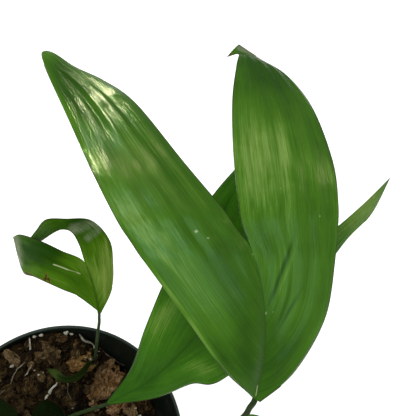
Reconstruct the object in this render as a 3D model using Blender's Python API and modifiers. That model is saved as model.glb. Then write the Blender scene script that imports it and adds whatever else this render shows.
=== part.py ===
"""A young bamboo palm in a plastic nursery pot, seen as built: pot, bark potting mix, canes and fronds.

Blender 4.5, metres, +Z up. The origin is in the middle of the underside of the pot, which it rests on.
Edges of the leaves are given in millimetres from that origin, and MM turns them into metres.
"""

import math
import random

import bmesh
import bpy
import numpy as np
from mathutils import Matrix, Vector, noise

for old in list(bpy.data.objects):
    bpy.data.objects.remove(old, do_unlink=True)

MM = 0.001
MERGE_DISTANCE = 0.01 * MM

# Pot
POT_HEIGHT = 145 * MM
RIM_RADIUS = 80 * MM
BASE_RADIUS = 58 * MM
WALL = 1.6 * MM
FLOOR = 2.0 * MM
LIP_WIDTH = 2.2 * MM
LIP_DEPTH = 5.0 * MM
EDGE_ROUND = 1.0 * MM
POT_SEGMENTS = 56
DRAIN_HOLES = 6
DRAIN_RADIUS = 5 * MM
DRAIN_CIRCLE = 40 * MM

# Potting mix, which keeps GAP from the pot
GAP = 0.3 * MM
MIX_TOP_DEPTH = 4 * MM
MIX_FALL = 36 * MM
MIX_FALL_HEADING = math.radians(-20)
MIX_FALL_START = -35 * MM
MIX_FALL_RUN = 60 * MM
MIX_LUMPS = 1.5 * MM
LUMP_SIZE = 14 * MM
MIX_RINGS = 9
MIX_SEGMENTS = 40
CHIP_SEED = 7
SMALL_CHIPS = 46
CHIP_REACH = 58 * MM
CHIP_LENGTH = (9 * MM, 16 * MM)
CHIP_THICKNESS = (4 * MM, 6 * MM)
CHIP_LIFT = 0.2
# x, y, length, width and thickness in millimetres, and heading in degrees
LARGE_CHIPS = [
    (-35, 56, 17, 10, 6, 15),
    (-18, 63, 17, 13, 7, 70),
    (-7, 56, 16, 11, 5, 10),
    (7, 53, 18, 10, 7, 75),
    (26, 44, 27, 20, 7, 120),
    (42, 42, 18, 9, 6, 150),
    (-24, 38, 17, 13, 6, 100),
    (-46, 30, 18, 9, 6, 130),
]

# Canes, as their feet on the table, their widest radius and their length in and above the mix
CANE_A_FOOT = Vector((2, -26, 0)) * MM
CANE_B_FOOT = Vector((-31, -2, 0)) * MM
CANE_RADIUS = 6.5 * MM
CANE_DEPTH = 22 * MM
CANE_A_HEIGHT = 32 * MM
CANE_B_HEIGHT = 17 * MM
# Radius as a share of the widest, and height as a share of the height above the mix
CANE_PROFILE = [
    (0.92, 1.0), (1.0, 0.96), (0.97, 0.65), (1.06, 0.62), (0.9, 0.5), (0.88, 0.15), (0.98, 0.1),
]
CANE_FOOT_SHARE = 0.8
CANE_SEGMENTS = 20

# Fronds. RIB_DROP sinks the midrib below the blade, as a share of its radius
BLADE_THICKNESS = 0.8 * MM
RIB_DROP = 0.3
TIP_CUT = 0.06
PLEAT_FADE_WIDTH = 25 * MM
HOLE_CLEARANCE = 0.5 * MM
PETIOLE_SEAT = 9 * MM


def material(name, colour, roughness):
    """A plain Principled material; colour is linear RGB."""
    made = bpy.data.materials.new(name)
    made.use_nodes = True
    shader = made.node_tree.nodes["Principled BSDF"]
    shader.inputs["Base Color"].default_value = (*colour, 1.0)
    shader.inputs["Roughness"].default_value = roughness
    made.diffuse_color = (*colour, 1.0)
    return made


plant = bpy.data.collections.new("potted bamboo palm")
helpers = bpy.data.collections.new("cutters")
bpy.context.scene.collection.children.link(plant)
bpy.context.scene.collection.children.link(helpers)

POT_PLASTIC = material("pot plastic", (0.006, 0.010, 0.007), 0.45)
BARK_MIX = material("bark potting mix", (0.055, 0.030, 0.016), 0.95)
CANE_GREEN = material("cane", (0.075, 0.110, 0.030), 0.55)
LEAF_GREEN = material("leaf", (0.035, 0.120, 0.012), 0.38)
LOW_LEAF_GREEN = material("low leaf", (0.018, 0.050, 0.008), 0.45)


def add_object(name, mesh, collection=plant, finish=None):
    made = bpy.data.objects.new(name, mesh)
    collection.objects.link(made)
    if finish:
        made.data.materials.append(finish)
    return made


def evaluated_mesh(obj):
    """A new mesh of the object with its modifiers applied."""
    bpy.context.view_layer.update()
    graph = bpy.context.evaluated_depsgraph_get()
    return bpy.data.meshes.new_from_object(obj.evaluated_get(graph))


def apply_modifiers(obj):
    mesh = evaluated_mesh(obj)
    obj.modifiers.clear()
    obj.data = mesh


def turned(name, profile, segments, finish):
    """A solid turned round Z from a profile that starts and ends on the axis."""
    mesh = bpy.data.meshes.new(name)
    points = [(radius, 0, height) for radius, height in profile]
    mesh.from_pydata(points, [(i, i + 1) for i in range(len(points) - 1)], [])
    obj = add_object(name, mesh, finish=finish)
    screw = obj.modifiers.new("turn", "SCREW")
    screw.steps = screw.render_steps = segments
    screw.use_merge_vertices = True
    screw.merge_threshold = MERGE_DISTANCE
    apply_modifiers(obj)
    return obj


def rod(name, start, end, radius, sides=16):
    """A cylinder between two points, kept in the cutters' collection."""
    start, end = Vector(start), Vector(end)
    form = bmesh.new()
    bmesh.ops.create_cone(
        form, cap_ends=True, segments=sides, radius1=radius, radius2=radius, depth=(end - start).length
    )
    mesh = bpy.data.meshes.new(name)
    form.to_mesh(mesh)
    form.free()
    obj = add_object(name, mesh, helpers)
    turn = (end - start).to_track_quat("Z", "Y").to_matrix().to_4x4()
    obj.matrix_world = Matrix.Translation((start + end) / 2) @ turn
    obj.hide_render = True
    obj.display_type = "WIRE"
    return obj


def combine(obj, others, operation, solver="EXACT"):
    """Cuts the others from the object, or joins them to it, and removes them."""
    group = bpy.data.collections.new("operands")
    bpy.context.scene.collection.children.link(group)
    for other in others:
        group.objects.link(other)
    boolean = obj.modifiers.new(operation.lower(), "BOOLEAN")
    boolean.operation = operation
    boolean.operand_type = "COLLECTION"
    boolean.collection = group
    boolean.solver = solver
    apply_modifiers(obj)
    for other in others:
        bpy.data.objects.remove(other, do_unlink=True)
    bpy.data.collections.remove(group)


def drop_scraps(mesh):
    """Keeps only the largest connected body of a mesh."""
    form = bmesh.new()
    form.from_mesh(mesh)
    unseen = set(form.verts)
    bodies = []
    while unseen:
        body, edge = set(), {unseen.pop()}
        while edge:
            body |= edge
            edge = {e.other_vert(v) for v in edge for e in v.link_edges} - body
        unseen -= body
        bodies.append(body)
    bodies.sort(key=len)
    for scrap in bodies[:-1]:
        bmesh.ops.delete(form, geom=list(scrap), context="VERTS")
    form.to_mesh(mesh)
    form.free()


# The pot: a thin tapered shell with a rolled lip and drain holes in its floor
LIP_INNER = RIM_RADIUS - LIP_WIDTH


def wall_inner_radius(height):
    """The inside radius of the tapered wall at a height above the table."""
    low = BASE_RADIUS - WALL
    return low + (LIP_INNER - low) * height / POT_HEIGHT


def build_pot():
    under_lip = POT_HEIGHT - LIP_DEPTH
    lip_middle = RIM_RADIUS - LIP_WIDTH / 2
    profile = [
        (0, FLOOR),
        (wall_inner_radius(FLOOR) - EDGE_ROUND, FLOOR),
        (wall_inner_radius(FLOOR + EDGE_ROUND), FLOOR + EDGE_ROUND),
        (LIP_INNER, POT_HEIGHT - EDGE_ROUND),
        (LIP_INNER + EDGE_ROUND / 2, POT_HEIGHT - EDGE_ROUND / 4),
        (lip_middle, POT_HEIGHT),
        (RIM_RADIUS - EDGE_ROUND / 2, POT_HEIGHT - EDGE_ROUND / 4),
        (RIM_RADIUS, POT_HEIGHT - EDGE_ROUND),
        (RIM_RADIUS, under_lip),
        (wall_inner_radius(under_lip) + WALL, under_lip - EDGE_ROUND / 2),
        (BASE_RADIUS, EDGE_ROUND),
        (BASE_RADIUS - EDGE_ROUND, 0),
        (0, 0),
    ]
    pot = turned("pot", profile, POT_SEGMENTS, POT_PLASTIC)
    holes = []
    for i in range(DRAIN_HOLES):
        angle = 2 * math.pi * i / DRAIN_HOLES
        x, y = DRAIN_CIRCLE * math.cos(angle), DRAIN_CIRCLE * math.sin(angle)
        holes.append(rod(f"drain {i}", (x, y, -FLOOR), (x, y, 2 * FLOOR), DRAIN_RADIUS))
    combine(pot, holes, "DIFFERENCE")
    return pot


# The potting mix: it fills the pot, heaped to the rim on one side, with bark chips on top
def mix_height(x, y):
    """The height of the mix above the table, without its chips."""
    along = x * math.cos(MIX_FALL_HEADING) + y * math.sin(MIX_FALL_HEADING)
    fall = min(max((along - MIX_FALL_START) / MIX_FALL_RUN, 0.0), 1.0)
    fall = fall * fall * (3 - 2 * fall)
    lumps = MIX_LUMPS * noise.noise(Vector((x, y, 0)) / LUMP_SIZE)
    return POT_HEIGHT - MIX_TOP_DEPTH - MIX_FALL * fall + lumps


def bark_chip(draw, x, y, length, width, thickness, heading):
    """An uneven slab of bark, sunk by about half into the mix."""
    form = bmesh.new()
    bmesh.ops.create_cube(form, size=1)
    for vert in form.verts:
        vert.co.x *= length * draw.uniform(0.75, 1.0)
        vert.co.y *= width * draw.uniform(0.7, 1.0)
        vert.co.z *= thickness * draw.uniform(0.8, 1.2)
    mesh = bpy.data.meshes.new("chip")
    form.to_mesh(mesh)
    form.free()
    chip = add_object("chip", mesh, helpers)
    step = width / 2
    slope_x = (mix_height(x + step, y) - mix_height(x - step, y)) / (2 * step)
    slope_y = (mix_height(x, y + step) - mix_height(x, y - step)) / (2 * step)
    up = Vector((-slope_x + draw.uniform(-0.2, 0.2), -slope_y + draw.uniform(-0.2, 0.2), 1))
    lay = up.to_track_quat("Z", "Y").to_matrix().to_4x4()
    chip.matrix_world = (
        Matrix.Translation((x, y, mix_height(x, y) + CHIP_LIFT * thickness))
        @ lay
        @ Matrix.Rotation(heading, 4, "Z")
    )
    chip.hide_render = True
    return chip


def build_mix(hole_rods):
    bottom = FLOOR + GAP
    top = POT_HEIGHT - MIX_TOP_DEPTH
    reach = wall_inner_radius(top) - GAP
    profile = [(reach * i / MIX_RINGS, top) for i in range(MIX_RINGS + 1)]
    profile.append((wall_inner_radius(bottom) - EDGE_ROUND - GAP, bottom))
    profile.append((0, bottom))
    mix = turned("potting_mix", profile, MIX_SEGMENTS, BARK_MIX)
    for vert in mix.data.vertices:
        if vert.co.z < top - MM:
            continue
        share = math.hypot(vert.co.x, vert.co.y) / reach
        height = mix_height(vert.co.x, vert.co.y)
        shrink = (wall_inner_radius(height) - GAP) / reach * math.cos(math.pi / MIX_SEGMENTS)
        vert.co.x *= 1 - share + share * shrink
        vert.co.y *= 1 - share + share * shrink
        vert.co.z = height
    draw = random.Random(CHIP_SEED)
    chips = []
    for x, y, length, width, thickness, heading in LARGE_CHIPS:
        size = (length * MM, width * MM, thickness * MM)
        chips.append(bark_chip(draw, x * MM, y * MM, *size, math.radians(heading)))
    for _ in range(SMALL_CHIPS):
        radius = CHIP_REACH * math.sqrt(draw.random())
        angle = draw.uniform(0, 2 * math.pi)
        x, y = radius * math.cos(angle), radius * math.sin(angle)
        length = draw.uniform(*CHIP_LENGTH)
        width = length * draw.uniform(0.4, 0.8)
        thickness = draw.uniform(*CHIP_THICKNESS)
        chips.append(bark_chip(draw, x, y, length, width, thickness, draw.uniform(0, math.pi)))
    combine(mix, chips, "UNION")
    combine(mix, hole_rods, "DIFFERENCE")
    return mix


# The fronds: a petiole and a two-lobed, lightly pleated blade each
def smooth(points, place):
    """The point of a Catmull-Rom curve through the points, at a place counted in points."""
    last = len(points) - 1
    i = min(int(place), last - 1)
    f = place - i
    p1, p2 = points[i], points[i + 1]
    p0 = points[i - 1] if i > 0 else 2 * p1 - p2
    p3 = points[i + 2] if i + 2 <= last else 2 * p2 - p1
    return 0.5 * (
        2 * p1 + (p2 - p0) * f + (2 * p0 - 5 * p1 + 4 * p2 - p3) * f**2 + (3 * p1 - p0 - 3 * p2 + p3) * f**3
    )


def half_blade(form, inner, outer, side, rows, columns, pleats, belly, pleat_depth):
    """Adds to form the sheet between a midrib or inner lobe edge and an outer edge, with pleats along it."""
    inner = np.array(inner, float) * MM
    outer = np.array(outer, float) * MM
    made = bmesh.ops.create_grid(form, x_segments=columns, y_segments=rows, size=1)["verts"]
    end = len(inner) - 1 - TIP_CUT
    for vert in made:
        across = (vert.co.x + 1) / 2
        place = (vert.co.y + 1) / 2 * end
        a, b = smooth(inner, place), smooth(outer, place)
        after = min(place + TIP_CUT, end)
        before = max(place - TIP_CUT, 0)
        along = smooth(inner, after) + smooth(outer, after) - smooth(inner, before) - smooth(outer, before)
        normal = np.cross(along, b - a) * side
        normal /= np.linalg.norm(normal)
        width = np.linalg.norm(b - a)
        fade = min(width / PLEAT_FADE_WIDTH, 1.0)
        wave = 1 - abs((across * pleats) % 1 - 0.5) * 2
        lift = belly * width * 4 * across * (1 - across) + pleat_depth * fade * wave
        vert.co = Vector(a * (1 - across) + b * across + normal * lift)
    if side < 0:
        faces = {face for vert in made for face in vert.link_faces}
        bmesh.ops.reverse_faces(form, faces=list(faces))


def tube(name, points, radii, samples):
    """A tapered round stalk through the points, as a closed mesh object."""
    points = np.array(points, float) * MM
    curve = bpy.data.curves.new(name, "CURVE")
    curve.dimensions = "3D"
    curve.bevel_depth = 1 * MM
    curve.bevel_resolution = 2
    curve.use_fill_caps = True
    spline = curve.splines.new("POLY")
    spline.points.add(samples)
    radii = np.array(radii, float)[:, None]
    for i, point in enumerate(spline.points):
        place = i / samples * (len(points) - 1)
        point.co = (*smooth(points, place), 1)
        point.radius = smooth(radii, place * (len(radii) - 1) / (len(points) - 1))[0]
    stalk = add_object(name, curve, helpers)
    mesh = evaluated_mesh(stalk)
    bpy.data.objects.remove(stalk, do_unlink=True)
    form = bmesh.new()
    form.from_mesh(mesh)
    bmesh.ops.remove_doubles(form, verts=form.verts, dist=MERGE_DISTANCE)
    form.to_mesh(mesh)
    form.free()
    return add_object(name, mesh, helpers)


def build_frond(name, shape, finish):
    """One frond as one solid: the blade's two halves, thickened, with the petiole and midrib under it."""
    form = bmesh.new()
    rachis = shape["rachis"]
    for side in ("left", "right"):
        outer = shape[side + "_edge"]
        inner = rachis + shape[side + "_lobe"] + outer[-1:]
        half_blade(
            form,
            inner,
            outer,
            1 if side == "left" else -1,
            shape["rows"],
            shape["columns"],
            shape["pleats"],
            shape["belly"],
            shape["pleat_depth"] * MM,
        )
    bmesh.ops.remove_doubles(form, verts=form.verts, dist=2 * MERGE_DISTANCE)
    bmesh.ops.triangulate(form, faces=form.faces)
    mesh = bpy.data.meshes.new(name)
    form.to_mesh(mesh)
    form.free()
    frond = add_object(name, mesh, finish=finish)
    thicken = frond.modifiers.new("thickness", "SOLIDIFY")
    thicken.thickness = BLADE_THICKNESS
    thicken.offset = 0
    apply_modifiers(frond)
    radii = shape["stalk_radii"][-len(rachis) :]
    rib = [(x, y, z - RIB_DROP * radius) for (x, y, z), radius in zip(rachis, radii)]
    stalk = tube(name + " stalk", shape["petiole"] + rib, shape["stalk_radii"], shape["stalk_samples"])
    combine(frond, [stalk], "UNION", "MANIFOLD")
    drop_scraps(frond.data)
    return frond


def seat(shape):
    """The cutter for the hole that a petiole's lower end stands in."""
    start, second = (Vector(point) * MM for point in shape["petiole"][:2])
    direction = (second - start).normalized()
    radius = shape["stalk_radii"][0] * MM + HOLE_CLEARANCE
    return rod("seat", start - direction * GAP, start + direction * 2 * PETIOLE_SEAT, radius)


# Leaf A, the largest: edges from foot to tip, the outer edges ending in the lobe's tip
LEAF_A = {
    "petiole": [(4, -27, 134), (11, -27, 152), (38, -22, 206), (66, -10, 250), (81, 1, 269), (86, 6, 280)],
    "rachis": [(87, 10, 288), (89, 32, 299), (88, 55, 307), (83, 77, 312)],
    "left_edge": [
        (85, 12, 288), (68, 24, 296), (48, 47, 307), (29, 70, 314), (15, 91, 315),
        (3, 117, 312), (-8, 146, 306), (-17, 171, 299), (-25, 203, 292),
    ],
    "left_lobe": [(69, 101, 310), (50, 128, 307), (26, 165, 302), (9, 181, 298)],
    "right_edge": [
        (89, 9, 288), (105, 23, 296), (120, 47, 305), (127, 75, 311), (133, 107, 312),
        (134, 133, 311), (128, 168, 309), (117, 193, 305), (103, 206, 301), (93, 218, 297), (84, 213, 292),
    ],
    "right_lobe": [(78, 108, 311), (77, 137, 309), (80, 171, 306), (86, 199, 302), (89, 211, 298)],
    "stalk_radii": [2.2, 2.0, 1.8, 1.6, 1.45, 1.4, 1.3, 1.1, 0.9, 0.6],
    "stalk_samples": 26,
    "rows": 16,
    "columns": 10,
    "pleats": 5,
    "pleat_depth": 1.0,
    "belly": 0.05,
}

# Leaf B, as long as leaf A and lower down behind it
LEAF_B = {
    "petiole": [(-29, -1, 139), (-24, 3, 151), (-10, 10, 162), (3, 16, 172), (13, 18, 187)],
    "rachis": [(23, 20, 200), (46, 31, 214), (65, 47, 228), (90, 73, 240)],
    "left_edge": [
        (22, 21, 200), (35, 38, 210), (42, 60, 225), (53, 88, 238), (67, 117, 244),
        (85, 143, 246), (106, 169, 244), (138, 212, 240),
    ],
    "left_lobe": [(103, 100, 246), (115, 134, 247), (128, 169, 245)],
    "right_edge": [
        (23, 19, 200), (51, 22, 210), (70, 28, 219), (87, 29, 227), (127, 60, 234),
        (174, 114, 236), (201, 139, 232), (225, 172, 228),
    ],
    "right_lobe": [(124, 94, 243), (160, 118, 241), (193, 144, 236)],
    "stalk_radii": [1.8, 1.6, 1.4, 1.2, 1.15, 1.1, 0.9, 0.75, 0.6],
    "stalk_samples": 24,
    "rows": 16,
    "columns": 10,
    "pleats": 5,
    "pleat_depth": 1.0,
    "belly": 0.05,
}

# Leaf C, small and curled: its right lobe arches over, and its left lobe's end hangs down
LEAF_C = {
    "petiole": [(20, 60, 111), (20, 61, 126), (19, 67, 150), (18, 73, 182)],
    "rachis": [(17, 76, 195), (13, 89, 203), (6, 105, 210)],
    "left_edge": [
        (17, 77, 195), (4, 86, 198), (-7, 90, 200), (-18, 96, 196), (-25, 101, 190),
        (-32, 104, 182), (-34, 114, 172), (-41, 133, 168),
    ],
    "left_lobe": [(-8, 113, 207), (-18, 120, 201), (-27, 127, 192), (-35, 133, 180)],
    "right_edge": [
        (18, 76, 195), (24, 91, 200), (24, 105, 208), (21, 119, 214), (9, 130, 219),
        (-9, 131, 217), (-21, 132, 208), (-26, 125, 196),
    ],
    "right_lobe": [(2, 115, 214), (-3, 123, 217), (-10, 124, 213), (-17, 123, 204)],
    "stalk_radii": [1.1, 1.0, 0.9, 0.85, 0.8, 0.8, 0.6],
    "stalk_samples": 20,
    "rows": 16,
    "columns": 6,
    "pleats": 3,
    "pleat_depth": 0.6,
    "belly": 0.06,
}

# Leaf D, low and dark, of the same cane as leaf A
LEAF_D = {
    "petiole": [(2, -24, 133), (2, -21, 140)],
    "rachis": [(1, -14, 143), (-1, -3, 145), (-2, 7, 145)],
    "left_edge": [
        (0, -14, 143), (-13, -5, 144), (-21, 8, 144), (-22, 19, 143), (-19, 27, 142), (-12, 30, 141),
    ],
    "left_lobe": [(0, 18, 144), (-4, 25, 142)],
    "right_edge": [
        (2, -15, 143), (15, -9, 145), (25, -3, 145), (34, 1, 143), (41, 4, 140), (47, 8, 137),
    ],
    "right_lobe": [(12, 10, 145), (28, 12, 142)],
    "stalk_radii": [1.6, 1.4, 1.2, 0.9, 0.6],
    "stalk_samples": 12,
    "rows": 10,
    "columns": 6,
    "pleats": 3,
    "pleat_depth": 0.6,
    "belly": 0.05,
}

# Leaf E, of the same cane as leaf B, reaches out over the rim
LEAF_E = {
    "petiole": [(-34, -1, 139), (-35, 1, 150)],
    "rachis": [(-37, 6, 158), (-44, 16, 167), (-52, 26, 172)],
    "left_edge": [
        (-38, 5, 158), (-52, 8, 164), (-66, 15, 168), (-80, 22, 168), (-94, 29, 162), (-110, 36, 152),
    ],
    "left_lobe": [(-68, 29, 173), (-86, 34, 168)],
    "right_edge": [
        (-36, 7, 158), (-30, 19, 163), (-41, 29, 166), (-55, 43, 168), (-70, 61, 164), (-86, 76, 156),
    ],
    "right_lobe": [(-62, 40, 172), (-73, 55, 168)],
    "stalk_radii": [1.8, 1.6, 1.4, 1.0, 0.6],
    "stalk_samples": 12,
    "rows": 12,
    "columns": 6,
    "pleats": 3,
    "pleat_depth": 0.8,
    "belly": 0.05,
}

# Leaf F, of the same cane as leaf A, to the right of the pot
LEAF_F = {
    "petiole": [(4, -31, 132), (8, -33, 142), (26, -32, 168), (46, -26, 188)],
    "rachis": [(62, -22, 200), (82, -26, 213), (104, -32, 222)],
    "left_edge": [
        (61, -20, 200), (84, -7, 214), (106, 8, 220), (129, -2, 219), (160, -10, 213), (206, -20, 198),
    ],
    "left_lobe": [(132, -25, 224), (164, -22, 216)],
    "right_edge": [
        (63, -24, 200), (84, -48, 208), (106, -70, 212), (128, -92, 206), (147, -108, 198), (163, -124, 186),
    ],
    "right_lobe": [(126, -58, 218), (146, -86, 207)],
    "stalk_radii": [1.9, 1.8, 1.6, 1.5, 1.4, 1.1, 0.6],
    "stalk_samples": 20,
    "rows": 14,
    "columns": 8,
    "pleats": 4,
    "pleat_depth": 0.9,
    "belly": 0.05,
}

# The shoot: one narrow young leaf that arches low over the mix
SHOOT = {
    "petiole": [(20, 55, 112), (19, 56, 124)],
    "rachis": [(16, 56, 132), (8, 46, 140), (-1, 43, 145), (-8, 46, 146)],
    "left_edge": [(16, 54, 132), (9, 43, 140), (-1, 40, 145), (-8, 43, 146), (-14, 50, 144)],
    "left_lobe": [],
    "right_edge": [(15, 58, 132), (7, 48, 140), (-1, 45, 145), (-7, 49, 146), (-14, 50, 144)],
    "right_lobe": [],
    "stalk_radii": [1.2, 1.1, 0.9, 0.8, 0.7, 0.6],
    "stalk_samples": 12,
    "rows": 10,
    "columns": 2,
    "pleats": 1,
    "pleat_depth": 0.0,
    "belly": 0.05,
}


# The canes: short, ringed with leaf scars, each with its lower end in a hole in the mix
def build_cane(name, foot, height, seats):
    ground = mix_height(foot.x, foot.y)
    profile = [(CANE_RADIUS * radius, ground + height * share) for radius, share in CANE_PROFILE]
    profile.append((CANE_RADIUS * CANE_FOOT_SHARE, ground - CANE_DEPTH))
    profile = [(0, profile[0][1]), *profile, (0, profile[-1][1])]
    cane = turned(name, profile, CANE_SEGMENTS, CANE_GREEN)
    for vert in cane.data.vertices:
        vert.co += foot
    combine(cane, seats, "DIFFERENCE")
    return cane


def cane_hole(foot):
    """The cutter for a cane's hole, long enough to cut the chips above it too."""
    ground = mix_height(foot.x, foot.y)
    low = foot + Vector((0, 0, ground - CANE_DEPTH - GAP))
    high = foot + Vector((0, 0, ground + CANE_DEPTH))
    return rod("cane hole", low, high, CANE_RADIUS + HOLE_CLEARANCE, CANE_SEGMENTS)


build_pot()
build_mix([cane_hole(CANE_A_FOOT), cane_hole(CANE_B_FOOT), seat(LEAF_C), seat(SHOOT)])
build_cane("cane_a", CANE_A_FOOT, CANE_A_HEIGHT, [seat(LEAF_A), seat(LEAF_D), seat(LEAF_F)])
build_cane("cane_b", CANE_B_FOOT, CANE_B_HEIGHT, [seat(LEAF_B), seat(LEAF_E)])
for frond_name, frond_shape, green in (
    ("frond_a", LEAF_A, LEAF_GREEN),
    ("frond_b", LEAF_B, LEAF_GREEN),
    ("frond_c", LEAF_C, LEAF_GREEN),
    ("frond_d", LEAF_D, LOW_LEAF_GREEN),
    ("frond_e", LEAF_E, LOW_LEAF_GREEN),
    ("frond_f", LEAF_F, LEAF_GREEN),
    ("shoot", SHOOT, LOW_LEAF_GREEN),
):
    build_frond(frond_name, frond_shape, green)
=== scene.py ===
"""A young bamboo palm in a black nursery pot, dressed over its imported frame.

The sections follow the plant as it is potted up: the pot, the bark mix, the canes, then frond by frond.
Sizes are in millimetres in the frame's own axes, and MM turns them into metres.
"""

import math
import random

import bpy
import numpy as np
from mathutils import Matrix, Vector, noise


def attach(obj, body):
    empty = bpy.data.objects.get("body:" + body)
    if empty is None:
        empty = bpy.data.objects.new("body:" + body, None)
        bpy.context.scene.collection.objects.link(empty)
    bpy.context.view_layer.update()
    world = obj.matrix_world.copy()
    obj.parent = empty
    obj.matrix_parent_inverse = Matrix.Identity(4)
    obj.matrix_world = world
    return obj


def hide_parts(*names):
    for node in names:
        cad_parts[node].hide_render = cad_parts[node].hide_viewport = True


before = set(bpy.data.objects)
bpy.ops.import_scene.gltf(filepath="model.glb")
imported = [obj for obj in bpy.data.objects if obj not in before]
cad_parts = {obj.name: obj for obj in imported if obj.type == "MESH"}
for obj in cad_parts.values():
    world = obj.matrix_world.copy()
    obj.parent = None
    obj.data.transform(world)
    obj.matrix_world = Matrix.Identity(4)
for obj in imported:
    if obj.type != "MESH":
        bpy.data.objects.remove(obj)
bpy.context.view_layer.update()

MM = 0.001


# The nursery pot
# One thin moulded shell of black-green plastic: tapered wall, small rolled lip, flat floor with six
# drain holes. It stands on its underside and is a little dusty, with a paler lip.
POT_HEIGHT = 145
POT_FACETS = 144
UNDERSIDE_RADIUS = 57
# Radius and height of each ring, up the outside, over the lip, down the inside and across the floor
POT_RINGS = [
    (58, 1), (61.9, 30), (62.2, 31), (62, 32), (73.7, 112), (74.1, 113), (73.9, 114), (78.5, 139.2),
    (79.6, 139.6), (80, 140.4), (80, 143.8), (79.7, 144.6), (78.9, 145), (78.1, 144.7), (77.8, 144),
    (77.2, 141), (71, 99), (64, 52), (56.9, 3), (55.8, 2), (20, 2),
]
DRAIN_HOLES = 6
DRAIN_RADIUS = 5
DRAIN_CIRCLE = 40
DRILL_FACETS = 32
DRILL_LENGTH = 12
PALE_LIP_FROM, PALE_LIP_TO = 143.5, 144.9


def deselect_all():
    bpy.ops.object.select_all(action="DESELECT")


def select_only(*pieces):
    """Selects these pieces and nothing else, and makes the first one active."""
    deselect_all()
    for piece in pieces:
        piece.select_set(True)
    bpy.context.view_layer.objects.active = pieces[0]


def edit_all(piece):
    """Starts to edit this piece alone, with all of it selected."""
    select_only(piece)
    bpy.ops.object.mode_set(mode="EDIT")
    bpy.ops.mesh.select_all(action="SELECT")


def weld(piece, reach):
    edit_all(piece)
    bpy.ops.mesh.remove_doubles(threshold=reach * MM)
    bpy.ops.object.mode_set(mode="OBJECT")


def face_outwards():
    """Turns the edited piece's faces outwards and leaves edit mode."""
    bpy.ops.mesh.select_all(action="SELECT")
    bpy.ops.mesh.normals_make_consistent(inside=False)
    bpy.ops.object.mode_set(mode="OBJECT")


def draw_up(name, facets, start_radius, start_height, rings):
    """A round vessel drawn from a disc: each ring is extruded from the last and resized."""
    deselect_all()
    bpy.ops.mesh.primitive_circle_add(vertices=facets, radius=start_radius * MM, fill_type="NGON")
    vessel = bpy.context.object
    vessel.name = vessel.data.name = name
    edit_all(vessel)
    bpy.ops.transform.translate(value=(0, 0, start_height * MM))
    radius, height = start_radius, start_height
    for next_radius, next_height in rings:
        rise = (next_height - height) * MM
        bpy.ops.mesh.extrude_region_move(TRANSFORM_OT_translate={"value": (0, 0, rise)})
        share = next_radius / radius
        bpy.ops.transform.resize(value=(share, share, 1))
        radius, height = next_radius, next_height
    face_outwards()
    return vessel


def apply_modifiers(piece):
    select_only(piece)
    for modifier in list(piece.modifiers):
        bpy.ops.object.modifier_apply(modifier=modifier.name)


def smooth_by_angle(piece, degrees):
    select_only(piece)
    bpy.ops.object.shade_smooth_by_angle(angle=math.radians(degrees))


def feed(socket, value):
    """Gives an input its value: another node's output, a number, a vector or a colour."""
    if isinstance(value, bpy.types.NodeSocket):
        socket.id_data.links.new(value, socket)
    else:
        socket.default_value = (*value, 1) if socket.type == "RGBA" else value


def finish(name, colour, roughness, gloss=0.5):
    """A Principled material of one colour, with its node tree and its shader's inputs."""
    made = bpy.data.materials.new(name)
    made.use_nodes = True
    inputs = made.node_tree.nodes["Principled BSDF"].inputs
    feed(inputs["Base Color"], colour)
    feed(inputs["Roughness"], roughness)
    feed(inputs["Specular IOR Level"], gloss)
    made.diffuse_color = (*colour, 1)
    return made, made.node_tree, inputs


def add(tree, kind, **values):
    """Adds a node and feeds its inputs by name, or sets what is a setting and no input."""
    node = tree.nodes.new("ShaderNode" + kind)
    for key, value in values.items():
        name = key.replace("_", " ")
        if name in node.inputs:
            feed(node.inputs[name], value)
        else:
            setattr(node, key, value)
    return node


def blend(share, first, second):
    """One colour over another by a socket's share; each colour is a socket or a plain value."""
    mix = add(share.id_data, "Mix", data_type="RGBA")
    for place, value in ((0, share), (6, first), (7, second)):
        feed(mix.inputs[place], value)
    return mix.outputs[2]


def spread(socket, low, high, to_low=0, to_high=1):
    """A clamped map of a socket's values from one range to another."""
    ranged = add(socket.id_data, "MapRange", Value=socket, From_Min=low, From_Max=high)
    feed(ranged.inputs["To Min"], to_low)
    feed(ranged.inputs["To Max"], to_high)
    return ranged.outputs["Result"]


def grain(vector, scale, detail=4, rough=0.55, stretch=None):
    """Noise on a vector socket, stretched by a Mapping node where the grain runs one way."""
    tree = vector.id_data
    if stretch:
        vector = add(tree, "Mapping", Vector=vector, Scale=stretch).outputs["Vector"]
    speckle = add(tree, "TexNoise", Vector=vector, Scale=scale, Detail=detail, Roughness=rough)
    return speckle.outputs["Fac"]


def object_place(tree):
    return add(tree, "TexCoord").outputs["Object"]


def raise_grain(inputs, height, depth):
    bump = add(height.id_data, "Bump", Distance=depth * MM, Height=height)
    feed(inputs["Normal"], bump.outputs["Normal"])


pot = draw_up("nursery_pot", POT_FACETS, UNDERSIDE_RADIUS, 0, POT_RINGS)
for hole in range(DRAIN_HOLES):
    angle = 2 * math.pi * hole / DRAIN_HOLES
    deselect_all()
    bpy.ops.mesh.primitive_cylinder_add(
        vertices=DRILL_FACETS,
        radius=DRAIN_RADIUS * MM,
        depth=DRILL_LENGTH * MM,
        location=(DRAIN_CIRCLE * MM * math.cos(angle), DRAIN_CIRCLE * MM * math.sin(angle), 0),
    )
    drill = bpy.context.object
    cut = pot.modifiers.new("drain", "BOOLEAN")
    cut.operation = "DIFFERENCE"
    cut.object = drill
    apply_modifiers(pot)
    bpy.data.objects.remove(drill)
smooth_by_angle(pot, 40)

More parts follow.
